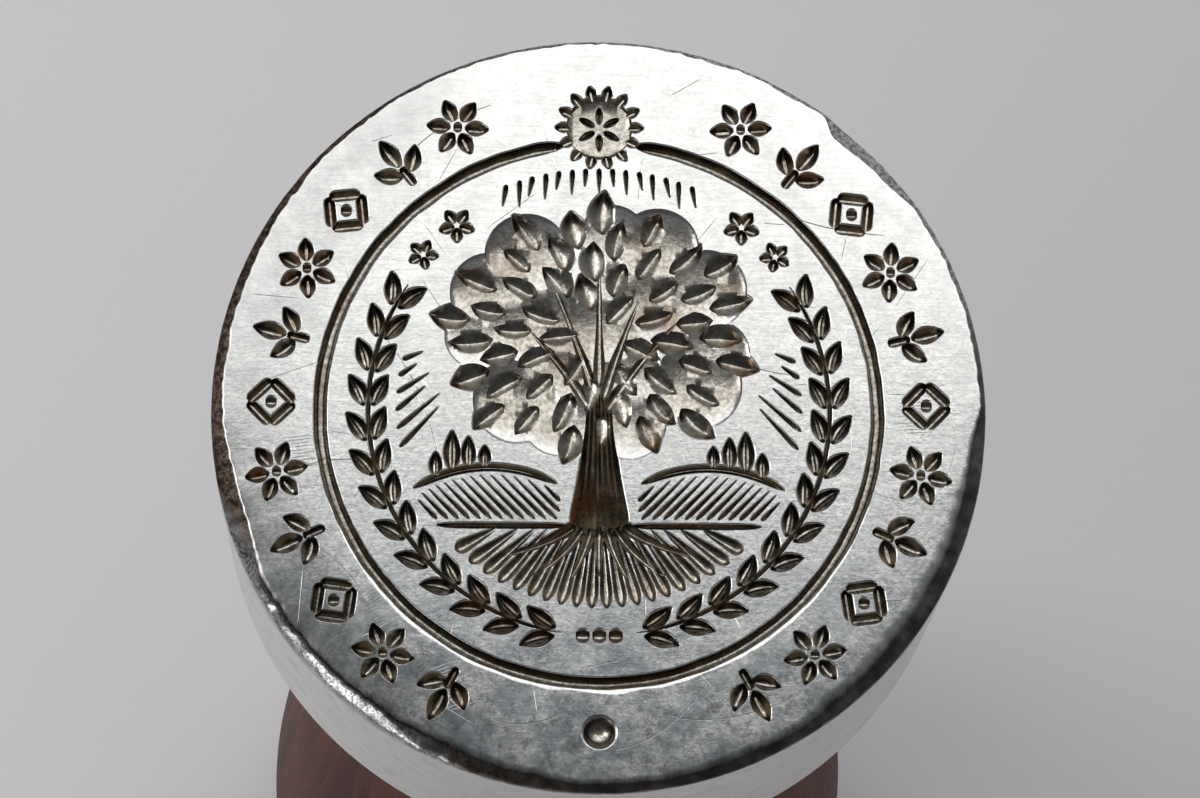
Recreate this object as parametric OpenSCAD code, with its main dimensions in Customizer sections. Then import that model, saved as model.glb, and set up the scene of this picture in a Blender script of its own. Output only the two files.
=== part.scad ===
// Hand seal for a desk: an engraved steel die that screws onto a turned wooden handle.
// The seal stands on the foot of its handle with the die's face up, and the axis is Z.
// The top of the engraving points to +Y, and the mark for the thumb is on -Y.

/* [Overall] */
// Height from the foot of the handle to the die's face
seal_h = 124; // [116:1:150]

/* [Die] */
// Diameter of the die
die_d = 38; // [35:0.5:46]
// Thickness of the die, from its face to its back
die_t = 15.6; // [14:0.1:22]
// Width of the filed bevel round the face
bevel_w = 0.9; // [0.3:0.1:1.4]
// Drop of the filed bevel
bevel_h = 0.6; // [0.2:0.1:1.4]
// Chamfer on the die's back edge
back_chamfer = 0.4; // [0.1:0.1:1]
// Steel left between the face and the end of the stud's hole
face_t = 4.7; // [3:0.1:5.5]

/* [Engraving] */
// Outer diameter of the ring line round the field
ring_d = 28; // [25:0.5:29]
// Width of the ring line
ring_w = 0.7; // [0.4:0.1:1]
// Depth of the ring line
ring_depth = 0.4; // [0.2:0.05:0.6]
// Depth of the trunk, branches and roots
deep_cut = 0.6; // [0.4:0.05:1]
// Depth of the leaves and border ornaments
leaf_cut = 0.4; // [0.2:0.05:0.6]
// Depth of the fine lines
line_cut = 0.2; // [0.1:0.05:0.4]
// Ornaments on each side of the border
border_count = 11; // [7:1:12]
// Height of a border ornament
ornament_h = 2.8; // [1.8:0.1:3.2]
// Angle between the top of the field and the first ornament
border_start = 26; // [20:1:34]
// Angle between the foot of the field and the last ornament
border_end = 28; // [20:1:40]
// Diameter of the dot at the foot of the border
dot_d = 1.6; // [1:0.1:2.4]
// Diameter of the scalloped rosette at the top of the border
rosette_d = 3.8; // [3:0.1:4.4]
// Leaves in the crown of the tree
leaf_count = 54; // [30:1:60]
// Pairs of leaves on each branch of the wreath
wreath_pairs = 13; // [8:1:14]

/* [Packing washer] */
// Diameter of the packing washer
packing_d = 30; // [24:0.5:33]
// Thickness of the packing washer
packing_t = 1.6; // [1:0.1:3]
// Depth of the seat for the washer in the die's back
packing_seat = 0.8; // [0.3:0.1:0.9]

/* [Ferrule] */
// Outer diameter of the ferrule
ferrule_d = 26; // [23:0.5:30]
// Length of the ferrule
ferrule_len = 12; // [9:0.5:16]
// Wall of the ferrule
ferrule_wall = 1.2; // [0.8:0.1:2]
// Thickness of the ferrule's end plate
ferrule_plate = 2; // [1.5:0.1:3]
// Diameter of the two ferrule pins
pin_d = 1.6; // [1.2:0.1:2]
// Length of a ferrule pin under the ferrule's surface
pin_len = 5; // [3.5:0.5:5.5]
// Height of a pin's end above the ferrule
pin_proud = 0.3; // [0.1:0.1:0.5]

/* [Handle] */
// Diameter of the handle at its widest
bulb_d = 40; // [36:0.5:46]
// Height of the widest place above the foot
bulb_z = 12; // [8:0.5:20]
// Diameter of the flat foot
foot_d = 31; // [28:0.5:34]
// Diameter of the waist under the ferrule
waist_d = 23; // [19:0.5:25]
// Distance from the ferrule down to the waist
waist_drop = 13; // [10:0.5:18]
// Curve of the swell below the waist, which comes sooner at a lower value
swell_power = 1.4; // [1.2:0.1:2]
// Distance that the bead stands out past the ferrule
bead_out = 1; // [0.5:0.1:2]
// Thickness of the bead
bead_t = 4; // [3:0.5:5]
// Diameter of the thumb mark
mark_d = 3.2; // [2:0.1:4]
// Depth of the thumb mark in the wood
mark_len = 5; // [3:0.5:5.5]
// Height of the thumb mark's dome above the wood
mark_proud = 0.5; // [0.3:0.1:1]
// Distance from the waist down to the thumb mark
mark_drop = 20; // [12:1:34]

/* [Stud and nut] */
// Diameter of the stud
stud_d = 10; // [8:0.5:11]
// Width of the nut across its flats
nut_af = 16; // [14:0.5:17]
// Height of the nut
nut_h = 8; // [6:0.5:10]
// Diameter of the washer on the nut
nut_washer_d = 20; // [18:0.5:21]
// Thickness of the washer on the nut
nut_washer_t = 1.6; // [1:0.1:2.5]
// Stud that stands past the nut
stud_past_nut = 1; // [0.5:0.1:2]
// Thickness of the plug in the foot
plug_t = 7; // [4:0.5:9]

/* [Clearances] */
// Radial clearance between the stud and the die's hole
thread_gap = 0.05; // [0.02:0.01:0.1]
// Radial clearance of the pressed and glued pieces
press_gap = 0.05; // [0.02:0.01:0.1]
// Radial clearance of the packing washer, and of the stud in the wood
loose_gap = 0.2; // [0.1:0.05:0.4]
// Radial room round the nut and its washer in the foot's well
well_gap = 1; // [0.5:0.1:1.5]
// Free space at the end of the stud, above and below
end_gap = 0.5; // [0.3:0.1:1]

/* [Hidden] */
$fn = 96;

// Heights, from the face down
die_z = seal_h - die_t;
packing_top = die_z + packing_seat;
ferrule_top = packing_top - packing_t;
ferrule_z = ferrule_top - ferrule_len;
tenon_top = ferrule_top - ferrule_plate;
waist_z = ferrule_z - waist_drop;
mark_z = waist_z - mark_drop;
pin_z = ferrule_z + (ferrule_len - ferrule_plate) / 2;
stud_hole_top = seal_h - face_t;

// Heights, from the foot up
stud_z = plug_t + end_gap;
nut_z = stud_z + stud_past_nut;
nut_top = nut_z + nut_h;
well_top = nut_top + nut_washer_t;

// Diameters that fit together
tenon_d = ferrule_d - 2 * ferrule_wall;
stud_hole_d = stud_d + 2 * thread_gap;
wood_hole_d = stud_d + 2 * loose_gap;
nut_corner_d = nut_af / cos(30);
well_d = max(nut_washer_d, nut_corner_d) + 2 * well_gap;
plug_d = well_d - 2 * press_gap;
bead_d = ferrule_d + 2 * bead_out;

// Radii on the face: the field lies inside the ring line, the border outside it
ring_r = ring_d / 2 - ring_w / 2;
field_r = ring_d / 2 - ring_w;
flat_r = die_d / 2 - bevel_w;
border_r = (ring_d / 2 + flat_r) / 2;
// One step of the drawing, of which the field's radius has 100
u = field_r / 100;

// Cutters stand this far out of the surface that they cut
over = 0.5;

// Outline of the handle

function swell(s) = pow(sin(90 * s), swell_power);
function handle_r(z) =
  waist_d / 2 + (bulb_d - waist_d) / 2 * swell((waist_z - z) / (waist_z - bulb_z));

foot_arc = [
  for (a = [0:9:90])
    [foot_d / 2 + (bulb_d - foot_d) / 2 * sin(a), bulb_z * (1 - cos(a))]
];
swell_curve = [
  for (i = [1:24])
    let (z = bulb_z + (waist_z - bulb_z) * i / 24) [handle_r(z), z]
];
bead_z = ferrule_z - bead_t;
cove_curve = [
  for (i = [1:8])
    [waist_d / 2 + (ferrule_d - waist_d) / 2 * (0.5 - 0.5 * cos(180 * i / 8)),
     waist_z + (bead_z + bead_t / 2 - waist_z) * i / 8]
];

// Flat shapes of the engraver's punches and gravers

// Pointed leaf along Y, made of two arcs
module leaf(len, wid) {
  arc_r = (len * len + wid * wid) / (4 * wid);
  shift = arc_r - wid / 2;
  intersection() {
    translate([shift, 0]) circle(r=arc_r);
    translate([-shift, 0]) circle(r=arc_r);
  }
}

// Straight cut from p to q whose width goes from wp to wq
module stroke(p, q, wp, wq) {
  along = (q - p) / norm(q - p);
  side = [-along[1], along[0]] / 2;
  polygon([p + side * wp, p - side * wp, q - side * wq, q + side * wq]);
}

// Sinks a flat shape into the face
module sink(depth) {
  translate([0, 0, seal_h - depth]) linear_extrude(depth + over) children();
}

// Border

module flower_mark(h) {
  petals = 6;
  for (i = [0:petals - 1])
    rotate(i * 360 / petals) translate([0, 0.3 * h]) leaf(0.4 * h, 0.22 * h);
  circle(d=0.18 * h);
}

module sprig_mark(h) {
  translate([0, 0.2 * h]) leaf(0.6 * h, 0.26 * h);
  for (side = [-1, 1])
    translate([side * 0.24 * h, -0.1 * h]) rotate(-side * 50) leaf(0.5 * h, 0.24 * h);
  translate([0, -0.34 * h]) square([0.14 * h, 0.32 * h], center=true);
}

module lozenge_mark(h) {
  difference() {
    rotate(45) square(0.6 * h, center=true);
    rotate(45) square(0.34 * h, center=true);
  }
  circle(d=0.2 * h);
}

module border_mark(kind) {
  if (kind == 0) flower_mark(ornament_h);
  if (kind == 1) sprig_mark(ornament_h);
  if (kind == 2) lozenge_mark(ornament_h);
}

border_step = (180 - border_start - border_end) / (border_count - 1);

module border() {
  for (side = [-1, 1], i = [0:border_count - 1])
    sink(leaf_cut)
      rotate(-side * (border_start + i * border_step)) translate([0, border_r]) border_mark(i % 3);
}

module top_rosette() {
  scallops = 14;
  petals = 6;
  centre_r = ring_d / 2 + rosette_d / 8;
  translate([0, centre_r, 0]) {
    sink(leaf_cut)
      for (i = [0:scallops - 1])
        rotate(i * 360 / scallops) translate([0, rosette_d / 2]) circle(d=rosette_d / 7);
    sink(line_cut)
      for (i = [0:petals - 1])
        rotate(i * 360 / petals) translate([0, rosette_d / 5]) leaf(rosette_d / 3.2, rosette_d / 8);
  }
}

module ring_line() {
  translate([0, 0, seal_h]) rotate_extrude()
    polygon([
      [ring_r - ring_w / 2, 0], [ring_r, -ring_depth], [ring_r + ring_w / 2, 0],
      [ring_r + ring_w / 2, over], [ring_r - ring_w / 2, over],
    ]);
}

module foot_dot() {
  dot_r = 0.6 * dot_d;
  translate([0, -border_r, seal_h + sqrt(dot_r * dot_r - dot_d * dot_d / 4)]) sphere(r=dot_r);
}

// Field: a tree with its roots, inside an open wreath of two branches

crown = [0, 30 * u];
crown_half = [57 * u, 46 * u];
crown_leaf = [15.5 * u, 8 * u];
fork_y = -4 * u;
root_y = -46 * u;
fine_tip = 1.2 * u;
wreath_r = 85 * u;
wreath_leaf = [13 * u, 5 * u];
wreath_tilt = 26;
wreath_foot = 9;
wreath_tip = 124;
wreath_step = (wreath_tip - wreath_foot) / wreath_pairs;

function way(a) = [cos(a), sin(a)];
// Point of the crown's outline, or of a smaller or larger copy of it
function on_crown(a, share) = crown + share * [crown_half[0] * cos(a), crown_half[1] * sin(a)];
// Point of the wreath's branch at a turn from the foot of the field
function on_wreath(side, turn) = wreath_r * [side * sin(turn), -cos(turn)];

module crown_leaves() {
  first = 3;
  golden_turn = 137.508;
  for (i = [first:leaf_count]) {
    at = on_crown(i * golden_turn, sqrt(i / leaf_count));
    out = at - crown;
    translate(at) rotate(atan2(out[1], out[0]) - 90) leaf(crown_leaf[0], crown_leaf[1]);
  }
}

module trunk() {
  waist_y = (fork_y + root_y) / 2;
  polygon([
    [-10 * u, root_y], [-6 * u, waist_y], [-6.5 * u, fork_y],
    [6.5 * u, fork_y], [6 * u, waist_y], [10 * u, root_y],
  ]);
}

module branches() {
  reach = 0.66;
  for (a = [22, 58, 90, 122, 158])
    stroke([0, fork_y - 2 * u], on_crown(a, reach), 7 * u, fine_tip);
}

module roots() {
  side_roots = 3;
  for (i = [-side_roots:side_roots]) {
    from = [i * 2.6 * u, root_y];
    length = (22 + 3 * abs(i)) * u;
    stroke(from, from + length * way(i * 22 - 90), 5 * u, fine_tip);
  }
}

module wreath_branch(side) {
  stem_part = 0.84 * wreath_step;
  stem_w = 1.4 * u;
  leaf_out = 5 * u;
  leaf_on = 3 * u;
  for (i = [0:wreath_pairs - 1]) {
    turn = wreath_foot + (i + 0.5) * wreath_step;
    stroke(on_wreath(side, turn - stem_part / 2), on_wreath(side, turn + stem_part / 2), stem_w, stem_w);
    for (out = [-1, 1])
      rotate(side * turn) translate([side * leaf_on, -wreath_r - out * leaf_out])
        rotate(-side * (90 + out * wreath_tilt)) leaf(wreath_leaf[0], wreath_leaf[1]);
  }
}

module wreath_knot() {
  bead = 5 * u;
  for (i = [-1:1]) translate([i * 1.2 * bead, -wreath_r]) circle(d=bead);
}

module rays() {
  side_rays = 6;
  shortest = 4 * u;
  for (i = [-side_rays:side_rays]) {
    a = 90 + i * 11;
    from = on_crown(a, 1.2);
    // Where the ray meets a circle just inside the ring line
    across = crown * way(a);
    end_r = (i % 2 == 0 ? 91 : 86) * u;
    to = crown + way(a) * (sqrt(across * across + end_r * end_r - crown * crown) - across);
    if (norm(to - from) > shortest) stroke(from, to, 1 * u, 2 * u);
  }
}

module ground_lines() {
  rows = 4;
  step = 6 * u;
  for (side = [-1, 1], i = [0:rows - 1]) {
    y = root_y + (1 - i) * step;
    from = [side * (18 + 5 * i) * u, y];
    to = [side * (52 - 3 * i) * u, y];
    stroke(from, to, 1.6 * u, 0.8 * u);
  }
}

module field() {
  sink(leaf_cut) crown_leaves();
  sink(deep_cut) trunk();
  sink(deep_cut) branches();
  sink(deep_cut) roots();
  for (side = [-1, 1]) sink(leaf_cut) wreath_branch(side);
  sink(leaf_cut) wreath_knot();
  sink(line_cut) rays();
  sink(line_cut) ground_lines();
}

// Pieces

module seal_die() {
  color([0.62, 0.62, 0.6]) difference() {
    union() {
      translate([0, 0, die_z])
        cylinder(d1=die_d - 2 * back_chamfer, d2=die_d, h=back_chamfer);
      translate([0, 0, die_z + back_chamfer])
        cylinder(d=die_d, h=die_t - back_chamfer - bevel_h);
      translate([0, 0, seal_h - bevel_h])
        cylinder(d1=die_d, d2=die_d - 2 * bevel_w, h=bevel_h);
    }
    translate([0, 0, die_z - over])
      cylinder(d=packing_d + 2 * loose_gap, h=packing_seat + over);
    translate([0, 0, die_z])
      cylinder(d=stud_hole_d, h=stud_hole_top - die_z);
    ring_line();
    border();
    top_rosette();
    foot_dot();
    field();
  }
}

module packing_washer() {
  color([0.4, 0.2, 0.12]) translate([0, 0, ferrule_top]) difference() {
    cylinder(d=packing_d, h=packing_t);
    translate([0, 0, -over]) cylinder(d=wood_hole_d, h=packing_t + 2 * over);
  }
}

module ferrule() {
  color([0.72, 0.55, 0.28]) difference() {
    translate([0, 0, ferrule_z]) cylinder(d=ferrule_d, h=ferrule_len);
    translate([0, 0, ferrule_z - over]) cylinder(d=tenon_d, h=tenon_top - ferrule_z + over);
    cylinder(d=wood_hole_d, h=ferrule_top + over);
    pin_holes();
  }
}

module pin_holes() {
  for (side = [-1, 1])
    translate([side * (ferrule_d / 2 + over), 0, pin_z])
      rotate([0, -side * 90, 0]) cylinder(d=pin_d + 2 * press_gap, h=pin_len + over);
}

module ferrule_pins() {
  color([0.8, 0.62, 0.32]) for (side = [-1, 1])
    translate([side * (ferrule_d / 2 + pin_proud), 0, pin_z])
      rotate([0, -side * 90, 0]) cylinder(d=pin_d, h=pin_len + pin_proud - press_gap);
}

module handle() {
  color([0.3, 0.12, 0.09]) difference() {
    union() {
      rotate_extrude()
        polygon(concat([[0, 0]], foot_arc, swell_curve, cove_curve,
          [[ferrule_d / 2, ferrule_z], [0, ferrule_z]]));
      translate([0, 0, bead_z + bead_t / 2])
        rotate_extrude() translate([(bead_d - bead_t) / 2, 0]) circle(d=bead_t);
      translate([0, 0, ferrule_z]) cylinder(d=tenon_d - 2 * press_gap, h=tenon_top - ferrule_z);
    }
    translate([0, 0, -over]) cylinder(d=wood_hole_d, h=tenon_top + 2 * over);
    translate([0, 0, -over]) cylinder(d=well_d, h=well_top + over);
    pin_holes();
    translate([0, -handle_r(mark_z) - over, mark_z])
      rotate([-90, 0, 0]) cylinder(d=mark_d + 2 * press_gap, h=mark_len + over);
  }
}

module thumb_mark() {
  dome_r = mark_len + mark_d;
  color([0.78, 0.6, 0.3]) translate([0, -handle_r(mark_z) - mark_proud, mark_z]) rotate([-90, 0, 0])
    intersection() {
      cylinder(d=mark_d, h=mark_len + mark_proud - press_gap);
      translate([0, 0, dome_r]) sphere(r=dome_r);
    }
}

module die_stud() {
  color([0.5, 0.5, 0.5]) translate([0, 0, stud_z])
    cylinder(d=stud_d, h=stud_hole_top - end_gap - stud_z);
}

module nut_washer() {
  color([0.55, 0.55, 0.55]) translate([0, 0, nut_top]) difference() {
    cylinder(d=nut_washer_d, h=nut_washer_t);
    translate([0, 0, -over]) cylinder(d=wood_hole_d, h=nut_washer_t + 2 * over);
  }
}

module stud_nut() {
  color([0.5, 0.5, 0.48]) translate([0, 0, nut_z]) difference() {
    cylinder(d=nut_corner_d, h=nut_h, $fn=6);
    translate([0, 0, -over]) cylinder(d=stud_hole_d, h=nut_h + 2 * over);
  }
}

module foot_plug() {
  color([0.28, 0.12, 0.09]) cylinder(d=plug_d, h=plug_t);
}

seal_die();
packing_washer();
ferrule();
ferrule_pins();
handle();
thumb_mark();
die_stud();
nut_washer();
stud_nut();
foot_plug();
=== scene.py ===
import math

import bmesh
import bpy
from mathutils import Matrix, Vector, noise


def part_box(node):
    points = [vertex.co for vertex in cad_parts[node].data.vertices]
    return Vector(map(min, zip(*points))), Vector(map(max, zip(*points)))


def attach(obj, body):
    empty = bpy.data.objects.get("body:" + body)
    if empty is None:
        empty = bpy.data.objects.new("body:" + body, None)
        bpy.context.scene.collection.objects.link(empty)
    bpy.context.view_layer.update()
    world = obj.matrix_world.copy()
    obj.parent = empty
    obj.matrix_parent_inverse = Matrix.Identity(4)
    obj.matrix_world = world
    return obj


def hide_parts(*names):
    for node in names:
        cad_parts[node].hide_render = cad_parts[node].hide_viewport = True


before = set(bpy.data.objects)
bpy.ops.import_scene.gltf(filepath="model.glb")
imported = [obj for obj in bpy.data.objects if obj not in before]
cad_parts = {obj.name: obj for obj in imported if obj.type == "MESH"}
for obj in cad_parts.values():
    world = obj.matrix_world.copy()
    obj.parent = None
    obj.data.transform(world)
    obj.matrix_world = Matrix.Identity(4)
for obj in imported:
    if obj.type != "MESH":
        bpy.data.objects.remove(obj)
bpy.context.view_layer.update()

# Handle: one length of dark red-brown hardwood, turned between centres to a pear shape, drilled
# through for the stud and bored at the foot for its nut, then stained and polished with shellac.
# Its tenon is glued into the ferrule.

mm = 0.001
quarter_turn = math.pi / 2
full_turn = 2 * math.pi
same_place = 1e-7


def as_object(name, bm, materials=()):
    """Puts a mesh into the scene as an object with its finishes."""
    mesh = bpy.data.meshes.new(name)
    bm.to_mesh(mesh)
    bm.free()
    for material in materials:
        mesh.materials.append(material)
    thing = bpy.data.objects.new(name, mesh)
    bpy.context.scene.collection.objects.link(thing)
    return thing


def finished(name, bm, materials, body, *nodes):
    """Makes a finished piece, which stands for its CAD nodes and rides on their body."""
    piece = as_object(name, bm, materials)
    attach(piece, body)
    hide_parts(*nodes)
    return piece


def smooth(piece, crease):
    """Shades a piece smooth, with an edge kept crisp where its faces turn by more than crease degrees."""
    piece.data.shade_smooth()
    piece.data.set_sharp_from_angle(angle=math.radians(crease))


def outward(bm):
    """Turns a closed mesh the right way out."""
    bmesh.ops.recalc_face_normals(bm, faces=bm.faces)
    if bm.calc_volume(signed=True) < 0:
        bmesh.ops.reverse_faces(bm, faces=bm.faces)


def turned(outline, steps, closed=True):
    """Turns an outline of (radius, height) points about the axis, as on a lathe. An outline that starts
    and ends on the axis isn't closed along it."""
    bm = bmesh.new()
    points = [bm.verts.new((r, 0, z)) for r, z in outline]
    for here, there in zip(points, points[1:]):
        bm.edges.new((here, there))
    if closed:
        bm.edges.new((points[-1], points[0]))
    bmesh.ops.spin(bm, geom=bm.verts[:] + bm.edges[:], cent=(0, 0, 0), axis=(0, 0, 1), dvec=(0, 0, 0),
                   angle=full_turn, steps=steps, use_merge=True)
    bmesh.ops.remove_doubles(bm, verts=bm.verts, dist=same_place)
    outward(bm)
    return bm


class Finish:
    """The nodes of one surface finish, which all start from the piece's own coordinates."""

    def __init__(self, name):
        self.material = bpy.data.materials.new(name)
        self.material.use_nodes = True
        self.nodes = self.material.node_tree.nodes
        self.links = self.material.node_tree.links
        self.shader = self.nodes["Principled BSDF"]
        self.coordinates = self.nodes.new("ShaderNodeTexCoord").outputs
        self.place = self.coordinates["Object"]

    def put(self, socket, value):
        """Links a node's output to a socket, or sets a plain value on it."""
        if isinstance(value, bpy.types.NodeSocket):
            self.links.new(value, socket)
        elif isinstance(value, (tuple, list)) and len(value) == 3 and socket.type == "RGBA":
            socket.default_value = (*value, 1)
        else:
            socket.default_value = value

    def set(self, **values):
        """Sets the shader's sockets by their names."""
        for name, value in values.items():
            self.put(self.shader.inputs[name.replace("_", " ")], value)

    def stretched(self, scale, turn=(0, 0, 0)):
        """The piece's coordinates, scaled apart along the axes to draw a pattern out."""
        node = self.nodes.new("ShaderNodeMapping")
        self.links.new(self.place, node.inputs["Vector"])
        node.inputs["Scale"].default_value = scale
        node.inputs["Rotation"].default_value = turn
        return node.outputs["Vector"]

    def grain(self, where, scale, detail=4, roughness=0.6, distortion=0):
        """An uneven value about a half, finer as its scale goes up."""
        node = self.nodes.new("ShaderNodeTexNoise")
        self.links.new(where, node.inputs["Vector"])
        node.inputs["Scale"].default_value = scale
        node.inputs["Detail"].default_value = detail
        node.inputs["Roughness"].default_value = roughness
        node.inputs["Distortion"].default_value = distortion
        return node.outputs["Fac"]

    def figure(self, operation, a, b, clamp=False):
        """Two values worked together."""
        node = self.nodes.new("ShaderNodeMath")
        node.operation = operation
        node.use_clamp = clamp
        self.put(node.inputs[0], a)
        self.put(node.inputs[1], b)
        return node.outputs[0]

    def times(self, a, b):
        return self.figure("MULTIPLY", a, b)

    def ramp(self, value, low, high, to_low=0.0, to_high=1.0):
        """A smooth change from to_low to to_high as a value goes from low to high."""
        node = self.nodes.new("ShaderNodeMapRange")
        node.interpolation_type = "SMOOTHSTEP"
        for socket, item in zip(node.inputs, (value, low, high, to_low, to_high)):
            self.put(socket, item)
        return node.outputs["Result"]

    def blend(self, share, first, second):
        """A first colour that gives way to a second one by a share."""
        node = self.nodes.new("ShaderNodeMix")
        node.data_type = "RGBA"
        self.put(node.inputs["Factor"], share)
        self.put(node.inputs[6], first)
        self.put(node.inputs[7], second)
        return node.outputs[2]

    def axis(self, name):
        """How far a point lies along one axis."""
        node = self.nodes.new("ShaderNodeSeparateXYZ")
        self.links.new(self.place, node.inputs[0])
        return node.outputs[name]

    def relief(self, height, depth, strength=1.0, under=None):
        """A surface made uneven by a height, over the unevenness under it."""
        node = self.nodes.new("ShaderNodeBump")
        node.inputs["Strength"].default_value = strength
        node.inputs["Distance"].default_value = depth
        self.links.new(height, node.inputs["Height"])
        if under is not None:
            self.links.new(under, node.inputs["Normal"])
        return node.outputs["Normal"]


def darker(colour, share):
    return tuple(share * part for part in colour)


def polished_wood(name, dark, red):
    finish = Finish(name)
    fibres = finish.grain(finish.stretched((900, 900, 45)), 1, detail=6, distortion=0.4)
    bands = finish.grain(finish.stretched((160, 160, 9)), 1, detail=3, distortion=1.2)
    pores = finish.grain(finish.stretched((3200, 3200, 160)), 1, detail=2)
    handling = finish.grain(finish.place, 90, detail=5)
    colour = finish.blend(finish.ramp(bands, 0.35, 0.7), dark, red)
    colour = finish.blend(finish.ramp(fibres, 0.42, 0.75, 0, 0.55), colour, darker(dark, 0.35))
    colour = finish.blend(finish.ramp(pores, 0.62, 0.72, 0, 0.6), colour, darker(dark, 0.2))
    finish.set(Base_Color=colour, Roughness=finish.ramp(handling, 0.3, 0.75, 0.3, 0.48),
               Specular_IOR_Level=0.0, Coat_Weight=0.2, Coat_Roughness=0.14,
               Normal=finish.relief(pores, 0.05 * mm, 0.3))
    return finish.material


bulb_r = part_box("handle")[1].x
bulb_z = 12 * mm
foot_r = 15.5 * mm
waist_r = 11.5 * mm
waist_drop = 13 * mm
swell_power = 1.4
bead_out = 1 * mm
bead_t = 4 * mm
bead_squeeze = 0.96
quirk = 0.35 * mm
ferrule_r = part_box("ferrule")[1].x
ferrule_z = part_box("ferrule")[0].z
ferrule_wall = 1.2 * mm
glue_gap = 0.05 * mm
tenon_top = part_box("handle")[1].z
tenon_r = ferrule_r - ferrule_wall - glue_gap
stud_way_r = 5.2 * mm
well_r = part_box("foot_plug")[1].x + glue_gap
well_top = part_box("nut_washer")[1].z
waist_z = ferrule_z - waist_drop
bead_z = ferrule_z - bead_t
foot_steps = 24
swell_steps = 48
neck_steps = 16
bead_steps = 12
lathe_steps = 144

handle_outline = [(well_r, 0)]
for i in range(foot_steps + 1):
    a = quarter_turn * i / foot_steps
    handle_outline.append((foot_r + (bulb_r - foot_r) * math.sin(a), bulb_z * (1 - math.cos(a))))
for i in range(1, swell_steps + 1):
    swell = math.sin(quarter_turn * (1 - i / swell_steps)) ** swell_power
    handle_outline.append((waist_r + (bulb_r - waist_r) * swell,
                           bulb_z + (waist_z - bulb_z) * i / swell_steps))
for i in range(1, neck_steps + 1):
    flare = 0.5 - 0.5 * math.cos(math.pi * i / neck_steps)
    handle_outline.append((waist_r + (ferrule_r - waist_r) * flare,
                           waist_z + (bead_z - quirk - waist_z) * i / neck_steps))
handle_outline.append((ferrule_r - quirk, bead_z))
for i in range(bead_steps + 1):
    a = math.pi * (i / bead_steps - 0.5)
    handle_outline.append((ferrule_r + bead_out - bead_t / 2 + bead_t / 2 * math.cos(a),
                           ferrule_z - bead_t / 2 + bead_t / 2 * math.sin(a) * bead_squeeze))
handle_outline += [(ferrule_r - quirk, ferrule_z), (tenon_r, ferrule_z), (tenon_r, tenon_top),
                   (stud_way_r, tenon_top), (stud_way_r, well_top), (well_r, well_top)]
handle_bm = turned(handle_outline, lathe_steps)

# The hand has worn it a little out of true between the foot and the bead
hand_wear = 0.09 * mm
wear_scale = 70
worn_from = 0.5 * mm
for vert in handle_bm.verts:
    r = math.hypot(vert.co.x, vert.co.y)
    if r > waist_r and worn_from < vert.co.z < bead_z:
        vert.co.xy *= 1 - hand_wear / r * (0.5 + 0.5 * noise.noise(vert.co * wear_scale))
mahogany = polished_wood("polished mahogany", (0.052, 0.016, 0.012), (0.115, 0.034, 0.022))
handle = finished("turned_handle", handle_bm, [mahogany], "handle_assembly", "handle")
smooth(handle, 40)

# Foot plug: a disc cut across the grain of a paler offcut, glued into the well under the nut and
# faced off flush with the foot.


def end_grain(name, dark, pale, pith):
    finish = Finish(name)
    shifted = finish.nodes.new("ShaderNodeMapping")
    shifted.inputs["Location"].default_value = pith
    finish.links.new(finish.place, shifted.inputs["Vector"])
    rings = finish.nodes.new("ShaderNodeTexWave")
    rings.wave_type = "RINGS"
    rings.rings_direction = "Z"
    finish.links.new(shifted.outputs["Vector"], rings.inputs["Vector"])
    for socket, value in (("Scale", 170), ("Distortion", 2.5), ("Detail", 3)):
        rings.inputs[socket].default_value = value
    pores = finish.grain(finish.stretched((3000, 3000, 200)), 1, detail=2)
    colour = finish.blend(rings.outputs["Fac"], dark, pale)
    colour = finish.blend(finish.ramp(pores, 0.58, 0.7), colour, darker(dark, 0.25))
    finish.set(Base_Color=colour, Roughness=finish.ramp(pores, 0.3, 0.7, 0.5, 0.7), Coat_Weight=0.25,
               Coat_Roughness=0.3, Normal=finish.relief(pores, 0.08 * mm, 0.5))
    return finish.material


plug_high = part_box("foot_plug")[1]
plug_edge = 0.3 * mm
plug_steps = 96
plug_bm = bmesh.new()
bmesh.ops.create_cone(plug_bm, cap_ends=True, segments=plug_steps, radius1=plug_high.x, radius2=plug_high.x,
                      depth=plug_high.z, matrix=Matrix.Translation((0, 0, plug_high.z / 2)))
foot_edges = [edge for edge in plug_bm.edges if all(vert.co.z < plug_edge for vert in edge.verts)]
bmesh.ops.bevel(plug_bm, geom=foot_edges, offset=plug_edge, offset_type="OFFSET", affect="EDGES", segments=3,
                profile=0.5, material=-1, clamp_overlap=True)
plug_wood = end_grain("oiled end grain", (0.075, 0.027, 0.018), (0.16, 0.06, 0.036), (0.021, 0.013, 0))
plug = finished("foot_plug_disc", plug_bm, [plug_wood], "handle_assembly", "foot_plug")
smooth(plug, 30)

# Nut and its washer: plain machined steel, pulled up in the well to clamp the stud. They are shut
# in behind the plug, so their solids stay as they are and only take the steel's finish.


def machined_steel(name, colour, stain):
    finish = Finish(name)
    turning = finish.grain(finish.stretched((60, 60, 9000)), 1, detail=3)
    patches = finish.grain(finish.place, 320, detail=6)
    finish.set(Base_Color=finish.blend(finish.ramp(patches, 0.45, 0.75), colour, stain), Metallic=1.0,
               Roughness=finish.ramp(patches, 0.3, 0.8, 0.28, 0.5),
               Normal=finish.relief(turning, 0.01 * mm, 0.35))
    return finish.material


stud_steel = machined_steel("machined steel", (0.42, 0.42, 0.42), (0.2, 0.17, 0.14))
for node in ("stud_nut", "nut_washer"):
    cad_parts[node].data.materials.clear()
    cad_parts[node].data.materials.append(stud_steel)

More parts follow.
